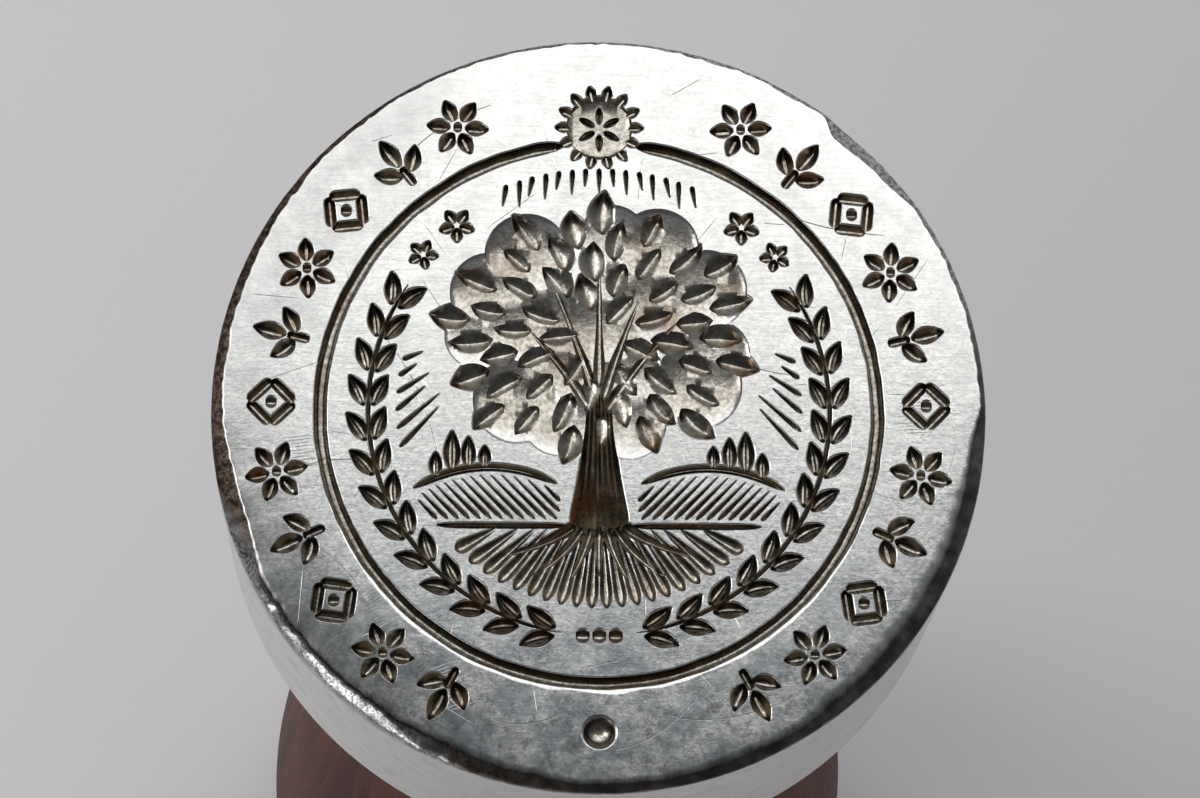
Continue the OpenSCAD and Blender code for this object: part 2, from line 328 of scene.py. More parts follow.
# Stud: a bright steel rod of 10 mm with a cut thread at its upper end, which the die screws onto.
# The nut in the foot holds it, and the upper end stands out of the ferrule.


def removed(thing):
    """Takes an object and its mesh out of the scene."""
    spent = thing.data
    bpy.data.objects.remove(thing)
    bpy.data.meshes.remove(spent)


def worked(blank, tool, operation):
    """Joins a tool's shape to a blank, or cuts it away, and uses the tool up."""
    work = blank.modifiers.new(operation.lower(), "BOOLEAN")
    work.operation = operation
    work.solver = "MANIFOLD"
    work.object = tool
    depsgraph = bpy.context.evaluated_depsgraph_get()
    shape = bpy.data.meshes.new_from_object(blank.evaluated_get(depsgraph))
    old = blank.data
    blank.modifiers.clear()
    blank.data = shape
    bpy.data.meshes.remove(old)
    removed(tool)
    return blank


def taken_apart(thing):
    """Takes a worked shape back as a mesh to go on with."""
    bm = bmesh.new()
    bm.from_mesh(thing.data)
    removed(thing)
    return bm


stud_low, stud_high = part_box("die_stud")
thread_gap = 0.02 * mm
thread_depth = 0.8 * mm
thread_join = 1e-6
facing_reach = 1e-8
stud_r = stud_high.x - thread_gap
shank_r = stud_r + thread_gap / 2
thread_root_r = stud_r - thread_depth
pitch = 1.5 * mm
shank_reach = 9 * mm
thread_low = ferrule_z + shank_reach
thread_turns = 12
turn_steps = 48
tip_chamfer = 0.9 * mm
tooth = [(thread_root_r, 0), (thread_root_r, 0.12), (stud_r, 0.5), (stud_r, 0.62), (thread_root_r, 1)]

shank_bm = bmesh.new()
bmesh.ops.create_cone(shank_bm, cap_ends=True, segments=turn_steps, radius1=shank_r, radius2=shank_r,
                      depth=thread_low + pitch - stud_low.z,
                      matrix=Matrix.Translation((0, 0, (thread_low + pitch + stud_low.z) / 2)))
thread_bm = bmesh.new()
tooth_verts = [thread_bm.verts.new((r, 0, thread_low - pitch + share * pitch)) for r, share in tooth]
for here, there in zip(tooth_verts, tooth_verts[1:]):
    thread_bm.edges.new((here, there))
bmesh.ops.spin(thread_bm, geom=thread_bm.verts[:] + thread_bm.edges[:], cent=(0, 0, 0), axis=(0, 0, 1),
               dvec=(0, 0, pitch / turn_steps), angle=full_turn * thread_turns,
               steps=turn_steps * thread_turns)
bmesh.ops.remove_doubles(thread_bm, verts=thread_bm.verts, dist=thread_join)
for height, keep in ((thread_low, -1), (stud_high.z, 1)):
    whole = thread_bm.verts[:] + thread_bm.edges[:] + thread_bm.faces[:]
    cut = bmesh.ops.bisect_plane(thread_bm, geom=whole, dist=facing_reach,
                                 plane_co=(0, 0, height), plane_no=(0, 0, keep), clear_outer=True)
    rim = [item for item in cut["geom_cut"] if isinstance(item, bmesh.types.BMEdge)]
    bmesh.ops.edgeloop_fill(thread_bm, edges=rim)
outward(thread_bm)
for vert in thread_bm.verts:
    r = math.hypot(vert.co.x, vert.co.y)
    allowed = stud_r - max(0, vert.co.z - (stud_high.z - tip_chamfer))
    if r > allowed:
        vert.co.xy *= allowed / r
stud_bm = taken_apart(worked(as_object("shank", shank_bm), as_object("thread", thread_bm), "UNION"))
bmesh.ops.remove_doubles(stud_bm, verts=stud_bm.verts, dist=thread_join)
stud = finished("threaded_stud", stud_bm, [stud_steel], "handle_assembly", "die_stud")
smooth(stud, 25)

# Ferrule: a brass cup turned from bar, with three cut lines and a rounded lip. It keeps the tenon
# from splitting, and its end plate takes the thrust of the die.


def tarnished_brass(name, bright, dull):
    finish = Finish(name)
    lathe = finish.grain(finish.stretched((120, 120, 14000)), 1)
    patches = finish.grain(finish.place, 260, detail=7, roughness=0.65)
    spots = finish.grain(finish.place, 1500, detail=3)
    colour = finish.blend(finish.ramp(patches, 0.35, 0.7), bright, dull)
    colour = finish.blend(finish.ramp(spots, 0.62, 0.75, 0, 0.7), colour, darker(dull, 0.3))
    finish.set(Base_Color=colour, Metallic=1.0, Roughness=finish.ramp(patches, 0.3, 0.75, 0.22, 0.45),
               Normal=finish.relief(lathe, 0.012 * mm, 0.4))
    return finish.material


ferrule_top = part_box("ferrule")[1].z
cup_r = ferrule_r - ferrule_wall
plate_t = 2 * mm
plate_z = ferrule_top - plate_t
lip = 0.5 * mm
lip_steps = 5
line_depth = 0.35 * mm
line_half = 0.4 * mm
line_places = (0.16, 0.26, 0.8)
line_section = ((-1, 0), (-0.4, 0.7), (0, 1), (0.4, 0.7), (1, 0))
ferrule_outline = [(cup_r, ferrule_z), (ferrule_r - lip / 2, ferrule_z), (ferrule_r, ferrule_z + lip / 2)]
for share in line_places:
    middle = ferrule_z + share * (ferrule_top - ferrule_z)
    for along, deep in line_section:
        ferrule_outline.append((ferrule_r - deep * line_depth, middle + along * line_half))
for i in range(lip_steps + 1):
    a = quarter_turn * i / lip_steps
    ferrule_outline.append((ferrule_r - lip + lip * math.cos(a), ferrule_top - lip + lip * math.sin(a)))
ferrule_outline += [(stud_way_r, ferrule_top), (stud_way_r, plate_z), (cup_r, plate_z)]
brass = tarnished_brass("tarnished brass", (0.62, 0.42, 0.17), (0.3, 0.2, 0.09))
ferrule_bm = turned(ferrule_outline, lathe_steps)
ferrule = finished("ferrule_cup", ferrule_bm, [brass], "handle_assembly", "ferrule")
smooth(ferrule, 35)

# Ferrule pins: two short brass pins driven through the ferrule into the tenon, their ends filed to
# low domes and rubbed bright by handling.

dome_steps = 6


def domed_pin(radius, length, dome, steps):
    """A pin along +Z whose domed end tops out at 0."""
    outline = []
    for i in range(dome_steps + 1):
        a = quarter_turn * i / dome_steps
        outline.append((radius * math.sin(a), -dome * (1 - math.cos(a))))
    outline += [(radius, -length), (0, -length)]
    return turned(outline, steps, closed=False)


pins_low, pins_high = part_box("ferrule_pins")
pin_r = (pins_high.y - pins_low.y) / 2
pin_z = (pins_high.z + pins_low.z) / 2
pin_dome = 0.35 * mm
pin_length = 5 * mm
pin_steps = 32
pins_bm = domed_pin(pin_r, pin_length, pin_dome, pin_steps)
pins_bm.transform(Matrix.Translation((pins_high.x, 0, pin_z)) @ Matrix.Rotation(quarter_turn, 4, "Y"))
copied = bmesh.ops.duplicate(pins_bm, geom=pins_bm.verts[:] + pins_bm.edges[:] + pins_bm.faces[:])["geom"]
bmesh.ops.rotate(pins_bm, verts=[item for item in copied if isinstance(item, bmesh.types.BMVert)],
                 cent=(0, 0, 0), matrix=Matrix.Rotation(math.pi, 3, "Z"))
rubbed_brass = tarnished_brass("rubbed brass", (0.72, 0.5, 0.2), (0.5, 0.33, 0.13))
pins = finished("ferrule_pin_pair", pins_bm, [rubbed_brass], "handle_assembly", "ferrule_pins")
smooth(pins, 40)

# Thumb mark: a larger brass pin let into the front of the handle, so that the hand finds which way
# up the hidden face is.

mark_low, mark_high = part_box("thumb_mark")
mark_r = (mark_high.x - mark_low.x) / 2
mark_z = (mark_low.z + mark_high.z) / 2
mark_dome = 0.5 * mm
mark_steps = 48
mark_bm = domed_pin(mark_r, mark_high.y - mark_low.y, mark_dome, mark_steps)
mark_bm.transform(Matrix.Translation((0, mark_low.y, mark_z)) @ Matrix.Rotation(quarter_turn, 4, "X"))
mark = finished("thumb_mark_pin", mark_bm, [rubbed_brass], "handle_assembly", "thumb_mark")
smooth(mark, 40)

# Packing washer: a ring of oiled leather that sits in the die's back and is squeezed against the
# ferrule's plate when the die is screwed home.


def oiled_leather(name, dark, worn):
    finish = Finish(name)
    creases = finish.nodes.new("ShaderNodeTexVoronoi")
    creases.feature = "DISTANCE_TO_EDGE"
    finish.links.new(finish.place, creases.inputs["Vector"])
    creases.inputs["Scale"].default_value = 1900
    patches = finish.grain(finish.place, 420, detail=6)
    pebble = finish.ramp(creases.outputs["Distance"], 0.0, 0.22)
    finish.set(Base_Color=finish.blend(finish.ramp(patches, 0.35, 0.7), dark, worn),
               Roughness=finish.ramp(pebble, 0, 1, 0.75, 0.5), Normal=finish.relief(pebble, 0.08 * mm, 0.7))
    return finish.material


packing_low, packing_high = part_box("packing_washer")
packing_edge = 0.35 * mm
packing_edge_steps = 4
packing_steps = 96
packing_outline = []
for r, z, out, up in ((stud_way_r, packing_low.z, 1, 1), (packing_high.x, packing_low.z, -1, 1),
                      (packing_high.x, packing_high.z, -1, -1), (stud_way_r, packing_high.z, 1, -1)):
    corner = []
    for i in range(packing_edge_steps + 1):
        a = quarter_turn * i / packing_edge_steps
        corner.append((r + out * packing_edge * (1 - math.sin(a)),
                       z + up * packing_edge * (1 - math.cos(a))))
    packing_outline += corner if out != up else corner[::-1]
leather = oiled_leather("oiled leather", (0.05, 0.022, 0.012), (0.13, 0.06, 0.03))
packing_bm = turned(packing_outline, packing_steps)
packing = finished("packing_ring", packing_bm, [leather], "packing", "packing_washer")
smooth(packing, 40)

# Die: a disc of tool steel, turned, drilled and tapped from the back, then ground on its face,
# punched and engraved by hand. Its rim was broken with a file, more on some sides than others,
# and is worn round at the lower left.

bright_steel = (0.62, 0.62, 0.605)
spotted_steel = (0.4, 0.415, 0.43)
brushed_steel = (0.43, 0.44, 0.445)
painted_blue_shade = (0.28, 0.305, 0.325)
painted_dark_shade = (0.16, 0.16, 0.16)
grey_haze = (0.36, 0.365, 0.365)
turned_steel = ((0.74, 0.73, 0.73), (0.56, 0.55, 0.545))
side_stain = (0.4, 0.38, 0.37)
patina_and_painted_shade = ((0.095, 0.085, 0.075), (0.2, 0.185, 0.17))
filed_steel = ((0.22, 0.215, 0.21), (0.62, 0.61, 0.6))
brown_rust = ((0.032, 0.024, 0.021), (0.15, 0.107, 0.085))
scuff_dirt = (0.1, 0.09, 0.085)
floor_grime_and_shade = ((0.46, 0.435, 0.38), (0.22, 0.19, 0.15))
wall_grime_and_shade = ((0.06, 0.051, 0.038), (0.22, 0.187, 0.14))
brown_grime = (0.15, 0.082, 0.042)


class DieSteel(Finish):
    """Steel that was ground, brushed by use and spotted a little."""

    def __init__(self, name):
        super().__init__(name)
        self.patches = self.grain(self.place, 900, detail=6, roughness=0.65)
        self.speckle = self.grain(self.place, 4200, detail=5, roughness=0.7)
        self.lathe = self.grain(self.stretched((200, 200, 16000)), 1)
        grit = self.grain(self.place, 9000, detail=3)
        dapple = self.grain(self.place, 2600, detail=3)
        waves = self.grain(self.place, 420, detail=2)
        brush = self.grain(self.stretched((500, 6500, 1), (0, 0, 0.1)), 1, detail=5, roughness=0.7)
        cross = self.grain(self.stretched((9000, 600, 1), (0, 0, 0.5)), 1, roughness=0.7)
        low_down = self.ramp(self.axis("Y"), 8 * mm, -10 * mm, 0.3)
        spots = self.times(self.ramp(self.speckle, 0.4, 0.7), low_down)
        self.colour = self.blend(spots, bright_steel, spotted_steel)
        self.colour = self.blend(self.ramp(brush, 0.42, 0.66, 0, 0.34), self.colour, brushed_steel)
        self.rough = self.ramp(self.patches, 0.3, 0.75, 0.16, 0.28)
        self.normal = None
        reliefs = ((waves, 0.03, 0.4), (dapple, 0.012, 0.5), (grit, 0.004, 0.6), (brush, 0.004, 0.5),
                   (cross, 0.0015, 0.4), (self.lathe, 0.004, 0.25))
        for height, depth, strength in reliefs:
            self.normal = self.relief(height, depth * mm, strength, self.normal)

    def lean(self):
        """How nearly the surface faces up: 1 on the level, 0 on a wall."""
        node = self.nodes.new("ShaderNodeSeparateXYZ")
        self.links.new(self.coordinates["Normal"], node.inputs[0])
        return node.outputs["Z"]

    def towards(self, across, up):
        """How far a point lies from the axis in one direction over the face."""
        return self.figure("ADD", self.times(self.axis("X"), across), self.times(self.axis("Y"), up))

    def rougher(self, share, amount):
        """The steel's roughness, with some more by a share."""
        return self.figure("ADD", self.rough, self.times(share, amount), clamp=True)


def ground_steel(name):
    """The face with its haze at the upper left and painted bluish shade low down, the turned side, and
    the rim, which is rusty on the left, filed clean above, dark below with patina and painted shade,
    and scuffed bright at the lower left."""
    finish = DieSteel(name)
    x = finish.axis("X")
    y = finish.axis("Y")
    lean = finish.lean()
    cloud = finish.grain(finish.place, 480, detail=5, roughness=0.65)
    mottle = finish.grain(finish.place, 1700, detail=6, roughness=0.75)
    scuffs = finish.grain(finish.place, 6500, detail=3, roughness=0.75)

    # Painted shade: a bluish, mottled darkening over the lower face that stands in for its darker reflection
    # there
    lower_painted_shade = finish.times(finish.ramp(y, -3 * mm, -14 * mm), finish.ramp(cloud, 0.42, 0.62, 0, 0.75))
    mottled_painted_shade = finish.times(finish.ramp(y, -9 * mm, -15 * mm), finish.ramp(mottle, 0.48, 0.62, 0, 0.6))
    upper_left = finish.ramp(finish.towards(-0.87, 0.5), 12 * mm, 17 * mm)
    hazy = finish.times(upper_left, finish.ramp(cloud, 0.3, 0.65, 0.3, 0.7))
    colour = finish.blend(lower_painted_shade, finish.colour, painted_blue_shade)
    colour = finish.blend(mottled_painted_shade, colour, painted_dark_shade)
    colour = finish.blend(hazy, colour, grey_haze)

    side = finish.blend(finish.ramp(finish.lathe, 0.42, 0.62), *turned_steel)
    side = finish.blend(finish.ramp(finish.patches, 0.52, 0.72, 0, 0.6), side, side_stain)
    colour = finish.blend(finish.ramp(lean, 0.3, 0.1), colour, side)

    above_side = finish.ramp(lean, 0.35, 0.6)
    lower_left = finish.ramp(finish.towards(-0.75, -0.66), 16.4 * mm, 17.6 * mm, 0, 0.9)
    worn = finish.times(lower_left, finish.ramp(lean, 0.88, 0.8))
    bevel = finish.times(finish.ramp(lean, 0.97, 0.89), above_side)
    bevel = finish.times(bevel, finish.figure("SUBTRACT", 1, worn))
    # The bevel is dark below with patina and painted shade, bright filed steel above, and rusty on the left
    bevel_patina_and_shade = finish.blend(finish.ramp(finish.patches, 0.35, 0.7), *patina_and_painted_shade)
    filed = finish.blend(finish.ramp(finish.speckle, 0.42, 0.6), *filed_steel)
    rust = finish.blend(finish.ramp(finish.speckle, 0.42, 0.62), *brown_rust)
    dull = finish.blend(finish.ramp(y, 2 * mm, 9 * mm), bevel_patina_and_shade, filed)
    dull = finish.blend(finish.ramp(x, 4 * mm, -13 * mm), dull, rust)
    colour = finish.blend(bevel, colour, dull)
    scuffed = finish.times(finish.times(worn, above_side), finish.ramp(scuffs, 0.44, 0.6))
    colour = finish.blend(scuffed, colour, scuff_dirt)
    finish.set(Base_Color=colour, Metallic=1.0, Roughness=finish.rougher(bevel, 0.1), Normal=finish.normal)
    return finish.material


def engraved_steel(name, face_z):
    """The cuts, with old grime and painted shade that darken them with depth, a little on their floors and
    more, and darker, on their steep walls.
    """
    finish = DieSteel(name)
    depth = finish.figure("SUBTRACT", face_z, finish.axis("Z"))
    steep = finish.ramp(finish.lean(), 0.95, 0.72)
    floors = finish.blend(finish.ramp(finish.speckle, 0.38, 0.62), *floor_grime_and_shade)
    walls = finish.blend(finish.ramp(finish.patches, 0.35, 0.65), *wall_grime_and_shade)
    brown = finish.ramp(finish.grain(finish.place, 330), 0.5, 0.64, 0, 0.65)
    grime_and_shade = finish.blend(brown, finish.blend(steep, floors, walls), brown_grime)
    # Grime and painted shade: the cuts darken with depth, and their steep walls more than their floors
    on_floor = finish.ramp(depth, 0.01 * mm, 0.24 * mm, 0, 0.9)
    on_wall = finish.times(steep, finish.ramp(depth, 0.014 * mm, 0.1 * mm))
    grime_and_shade_share = finish.times(finish.figure("MAXIMUM", on_floor, on_wall),
                        finish.ramp(finish.patches, 0.25, 0.55, 0.7, 1.0))
    tooling = finish.grain(finish.place, 2300, detail=2)
    finish.set(Base_Color=finish.blend(grime_and_shade_share, finish.colour, grime_and_shade), Metallic=1.0,
               Roughness=finish.rougher(grime_and_shade_share, 0.05),
               Normal=finish.relief(tooling, 0.03 * mm, 0.45, finish.normal))
    return finish.material


die_low, die_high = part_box("seal_die")
face_z = die_high.z
die_r = die_high.x
back_z = die_low.z
seat_z = packing_high.z
seat_gap = 0.2 * mm
seat_r = packing_high.x + seat_gap
hole_r = 5.05 * mm
hole_spare = 0.5 * mm
hole_top = stud_high.z + hole_spare
back_edge = 0.4 * mm
rim_reach = 3 * mm
blank_steps = 640
die_steels = [ground_steel("ground steel"), engraved_steel("engraved steel", face_z)]

# How the rim was worked at bearings round it, in degrees from +X and in millimetres: the width of
# the filed bevel and its slope, how round its outer and inner edges are worn, and how far the face
# is rubbed down beside it
rim_work = [(-180, 0.62, 0.62, 0.12, 0.10, 0.06), (-168, 0.95, 0.62, 0.14, 0.10, 0.12),
            (-161, 1.0, 0.62, 0.15, 0.12, 0.22), (-153, 0.6, 0.9, 0.3, 0.3, 0.32),
            (-140, 0.62, 1.05, 0.4, 0.34, 0.42), (-125, 0.8, 0.98, 0.45, 0.3, 0.34),
            (-116, 0.9, 0.72, 0.36, 0.3, 0.20), (-106, 0.78, 0.62, 0.24, 0.26, 0.10),
            (-90, 0.54, 0.62, 0.14, 0.2, 0.05), (-65, 0.62, 0.62, 0.1, 0.3, 0.03),
            (-40, 0.9, 0.62, 0.1, 0.45, 0.04), (-15, 0.9, 0.62, 0.1, 0.42, 0.05),
            (-8, 0.8, 0.62, 0.1, 0.2, 0.05), (2, 0.3, 0.62, 0.1, 0.1, 0.04),
            (32, 0.25, 0.62, 0.08, 0.08, 0.02), (42, 0.62, 0.62, 0.08, 0.1, 0.02),
            (50, 0.78, 0.62, 0.08, 0.1, 0.02), (54, 0.22, 0.62, 0.06, 0.06, 0.01),
            (90, 0.18, 0.62, 0.06, 0.05, 0.0), (135, 0.28, 0.62, 0.08, 0.08, 0.02),
            (160, 0.5, 0.62, 0.1, 0.1, 0.04), (180, 0.62, 0.62, 0.12, 0.1, 0.06)]
least_bevel = 0.12
rubbed_from = 14.2 * mm
outer_steps = 5
inner_steps = 6
rubbed_steps = 6


def heading(angle):
    """The way over the face at an angle from +X."""
    return Vector((math.cos(angle), math.sin(angle)))


def rim_at(bearing):
    """The bevel's width and slope, the rounding of its edges and the rubbed depth, all a little uneven."""
    for before, after in zip(rim_work, rim_work[1:]):
        if before[0] <= bearing <= after[0]:
            s = (bearing - before[0]) / (after[0] - before[0])
            s = s * s * (3 - 2 * s)
            width, slope, outer, inner, rubbed = [a + (b - a) * s for a, b in zip(before[1:], after[1:])]
            break
    # What the file and later knocks left: a size times a noise that is finer as its scale goes up
    out = heading(math.radians(bearing)).to_3d()
    chips = noise.noise(out * 17) + 0.7 * noise.noise(out * 41)
    nicks = 0.06 * noise.noise(out * 31) + 0.05 * noise.noise(out * 53)
    width += 0.09 * noise.noise(out * 9) + nicks + 0.2 * outer * chips
    slope *= 1 + 0.3 * outer * noise.noise(out * 25)
    outer *= 1 + 0.5 * noise.noise(out * 23)
    return max(least_bevel, width) * mm, slope, outer * mm, inner * mm, rubbed * mm


def rubbed_at(bearing, r):
    """How far the face is rubbed down at a bearing and a radius."""
    rubbed = rim_at(bearing)[-1]
    return rubbed * (max(0, r - rubbed_from) / (die_r - rubbed_from)) ** 2


def cornered(before, corner, after, steps):
    """Points that round off a corner of an outline."""
    points = []
    for i in range(steps + 1):
        s = i / steps
        points.append(before * (1 - s) ** 2 + corner * (2 * s * (1 - s)) + after * s * s)
    return points


def rim_outline(bearing):
    """Points (radius, height) over the rim from the side to where the face is level."""
    width, slope, outer, inner, _ = rim_at(bearing)
    top = Vector((die_r - width, face_z - rubbed_at(bearing, die_r - width)))
    foot = Vector((die_r, top.y - slope * width))
    along = (top - foot).normalized()
    outer = min(outer, 0.5 * (top - foot).length)
    inner = min(inner, 0.45 * (top - foot).length)
    brim = top.x - inner
    points = cornered(foot - Vector((0, outer)), foot, foot + along * outer, outer_steps)
    level = Vector((brim, face_z - rubbed_at(bearing, brim)))
    points += cornered(top - along * inner, top, level, inner_steps)
    for i in range(1, rubbed_steps + 1):
        r = brim + (rubbed_from - brim) * i / rubbed_steps
        points.append(Vector((r, face_z - rubbed_at(bearing, r))))
    return points


# The blank is turned with a stack of rings above its face, which are then brought to the outline of
# the rim at each bearing
blank_outline = [(0, hole_top), (hole_r, hole_top), (hole_r, seat_z), (seat_r, seat_z), (seat_r, back_z),
                 (die_r - back_edge, back_z), (die_r, back_z + back_edge), (die_r, face_z - rim_reach)]
blank_outline += [(die_r, face_z + (i + 1) * mm) for i in range(len(rim_outline(0)))]
blank_bm = turned(blank_outline + [(0, face_z)], blank_steps, closed=False)
for vert in blank_bm.verts:
    ring = round((vert.co.z - face_z) / mm) - 1
    if ring >= 0:
        r, z = rim_outline(math.degrees(math.atan2(vert.co.y, vert.co.x)))[ring]
        out = Vector((vert.co.x, vert.co.y)).normalized()
        vert.co = (out.x * r, out.y * r, z)


def steel_object(name, bm, finish):
    """An object of the die's two steels: 0 where it was ground, 1 where it was cut."""
    for face in bm.faces:
        face.material_index = finish
    return as_object(name, bm, die_steels)


die_shape = steel_object("die_blank", blank_bm, 0)


def bend(start, through, end):
    """A path along the face from start to end that leans towards a point, run from -1 to 1."""
    start, through, end = Vector(start), Vector(through), Vector(end)

    def at(t):
        s = (t + 1) / 2
        return start * (1 - s) ** 2 + through * (2 * s * (1 - s)) + end * s * s
    return at


def straight(start, end):
    return bend(start, (Vector(start) + Vector(end)) / 2, end)


def curve_round(centre, radius, start, end):
    """A path round a centre between two angles in degrees, run from -1 to 1."""
    def at(t):
        return Vector(centre) + radius * heading(math.radians(start + (end - start) * (t + 1) / 2))
    return at


# How a cut's width changes along it
def leaf_wide(t):
    return (1 - t * t) * (1.06 - 0.22 * t)


def taper_wide(t):
    return (1 - abs(t) ** 7) * (0.6 - 0.4 * t)


def line_wide(t):
    return 1 - abs(t) ** 8


def dish_wide(t):
    return math.sqrt(max(0, 1 - t * t))


def trunk_wide(t):
    return (1 - abs(t) ** 11) * (0.66 - 0.38 * t + 0.2 * t * t)


# Half sections of the cuts, as shares of the half width and of the depth, from the edge inwards
hollow = [(1, 0.06), (0.9, 0.24), (0.72, 0.52), (0.45, 0.82), (0.2, 0.97), (0, 1)]
punched = [(1, 0.08), (0.88, 0.3), (0.3, 0.93), (0.18, 1), (0, 1)]
ribbed = [(1, 0.06), (0.88, 0.3), (0.66, 0.68), (0.36, 0.98), (0.12, 0.92), (0, 0.55)]
scribed = [(1, 0.08), (0.5, 0.55), (0.12, 0.97), (0, 1)]
chipped = [(1, 0.05), (0.75, 0.34), (0.4, 0.72), (0.06, 0.99), (0, 1)]
grooved = [(1, 0.08), (0.84, 0.45), (0.62, 0.85), (0.36, 1), (0, 0.96)]
sunk = [(1, 0.1), (0.95, 0.6), (0.87, 0.94), (0.5, 1), (0, 1)]
bark = [(1, 0.06), (0.92, 0.5), (0.8, 0.84), (0.68, 0.5), (0.54, 0.92), (0.4, 0.56), (0.24, 1), (0.1, 0.66),
        (0, 0.96)]

# The worn edge of a cut, as two points past its width and up from the face, and how far a cut
# stands clear above the face
worn_edge = [(0.11 * mm, 0.012 * mm), (0.04 * mm, -0.014 * mm)]
clear = 0.4 * mm
tip_size = 1e-5
look_ahead = 0.01
run_out = 1.5
cuts = []


def graver_cut(path, half_width, depth, wide=leaf_wide, section=hollow, rings=12, worn=1.0):
    """Sinks one stroke of a graver or punch along a path, and rounds its edges over as wear does.
    A sphere is drawn out along the path to make it."""
    floor = section + [(-share, deep) for share, deep in section[-2::-1]]
    last = len(floor) + 3
    (brim_out, brim_up), (edge_out, edge_up) = [(out * worn, up * worn) for out, up in worn_edge]
    bm = bmesh.new()
    bmesh.ops.create_uvsphere(bm, u_segments=2 * last, v_segments=rings, radius=1)
    for vert in bm.verts:
        t = max(-1.0, min(1.0, vert.co.z))
        turn = math.atan2(vert.co.y, vert.co.x)
        tip = math.hypot(vert.co.x, vert.co.y) < tip_size
        broad = 0 if tip else half_width * wide(t)
        k = round(-turn / math.pi * last)
        if tip:
            across, height = 0, brim_up
        elif k <= 0 or k == last:
            across = (broad + brim_out) * math.cos(turn)
            height = brim_up + clear * max(0, math.sin(turn))
        elif k == 1 or k == last - 1:
            across = (broad + edge_out) * math.copysign(1, math.cos(turn))
            height = edge_up
        else:
            share, deep = floor[k - 2]
            across = broad * share
            height = 2 * edge_up - depth * min(1.0, run_out * broad / half_width) * deep
        ahead = path(min(t + look_ahead, 1)) - path(max(t - look_ahead, -1))
        point = path(t) + Vector((-ahead.y, ahead.x)).normalized() * across
        bearing = math.degrees(math.atan2(point.y, point.x))
        vert.co = (point.x, point.y, face_z - rubbed_at(bearing, point.length) + height)
    cuts.append(steel_object("cut", bm, 1))


def fine_line(path, half_width, depth, wide=taper_wide, rings=8, worn=0.6):
    """A line drawn with the point of a graver."""
    graver_cut(path, half_width, depth, wide=wide, section=scribed, rings=rings, worn=worn)


def leaf_cut(foot, length, width, direction, depth, curl=0.0, section=ribbed, rings=11):
    """A leaf from its foot outwards, bent a little to one side."""
    ahead = heading(direction)
    aside = Vector((-ahead.y, ahead.x))
    foot = Vector(foot)
    spine = bend(foot, foot + ahead * length / 2 + aside * curl * length, foot + ahead * length)
    graver_cut(spine, width / 2, depth, section=section, rings=rings)


def round_cut(at, radius, depth, section=hollow, rings=12):
    """A round dimple left by a punch."""
    reach = Vector((radius, 0))
    way = straight(Vector(at) - reach, Vector(at) + reach)
    graver_cut(way, radius, depth, wide=dish_wide, section=section, rings=rings)


# The tree: a leafy crown over five branches, a trunk with furrowed bark, and its roots. The picture
# is measured in steps, which are hundredths of the radius of its field.
field_r = 13.3 * mm
step = field_r / 100
crown = Vector((0, 30 * step))
crown_half = Vector((57 * step, 46 * step))
crown_rows = ((1, 0), (5, 0.42), (11, 0.78))
hollow_r = 14.5
hollow_deep = 0.2
golden_turn = math.radians(137.508)
first_leaf = 3
leaf_count = 54
leaf_long = 17
leaf_broad = 10 * step
leaf_deep = 0.46 * mm
fork = Vector((0, -4 * step))
branch_bearings = (22, 58, 90, 122, 158)
branch_reach = 0.7
branch_half = 3.2 * step
branch_deep = 0.44 * mm
root_y = -46 * step
trunk_half = 10.5 * step
trunk_deep = 0.5 * mm
roots_a_side = 3
root_gap = 2.6 * step
root_spread = 22
root_half = 2.7 * step
root_deep = 0.55 * mm


def on_crown(angle, share):
    return crown + share * Vector((crown_half.x * math.cos(angle), crown_half.y * math.sin(angle)))


for count, share in crown_rows:
    for i in range(count):
        uneven = math.sin(2.3 * i + count)
        middle = on_crown(quarter_turn + full_turn * (i + 0.2 * uneven) / count, share)
        round_cut(middle, (hollow_r + 2 * uneven) * step, (hollow_deep + 0.05 * uneven) * mm, rings=19)
for i in range(first_leaf, leaf_count + 1):
    middle = on_crown(i * golden_turn, math.sqrt(i / leaf_count))
    out = middle - crown
    direction = math.atan2(out.y, out.x)
    length = (leaf_long + 1.5 * math.sin(5 * i)) * step
    leaf_cut(middle - heading(direction) * length / 2, length, leaf_broad, direction, leaf_deep,
             curl=0.12 * math.sin(3 * i), section=chipped, rings=18)
for bearing in branch_bearings:
    tip = on_crown(math.radians(bearing), branch_reach)
    start = fork + Vector((tip.x * 0.06, 12 * step - 0.26 * abs(tip.x)))
    lean = Vector((tip.x * 0.3, (fork.y + tip.y) / 2 - 3 * step))
    graver_cut(bend(start, lean, tip), branch_half, branch_deep, wide=taper_wide, rings=18)
trunk_way = straight((0, root_y - 3 * step), fork + Vector((0, 14 * step)))
graver_cut(trunk_way, trunk_half, trunk_deep, wide=trunk_wide, section=bark, rings=30)
for i in range(-roots_a_side, roots_a_side + 1):
    start = Vector((i * root_gap, root_y + 3 * step))
    angle = math.radians(i * root_spread - 90)
    reach = (20 + 4 * abs(i)) * step
    end = start + reach * heading(angle)
    lean = start + reach * 0.5 * Vector((math.cos(angle) * 0.6, math.sin(angle) * 1.15))
    graver_cut(bend(start, lean, end), root_half, root_deep, wide=taper_wide, rings=14)

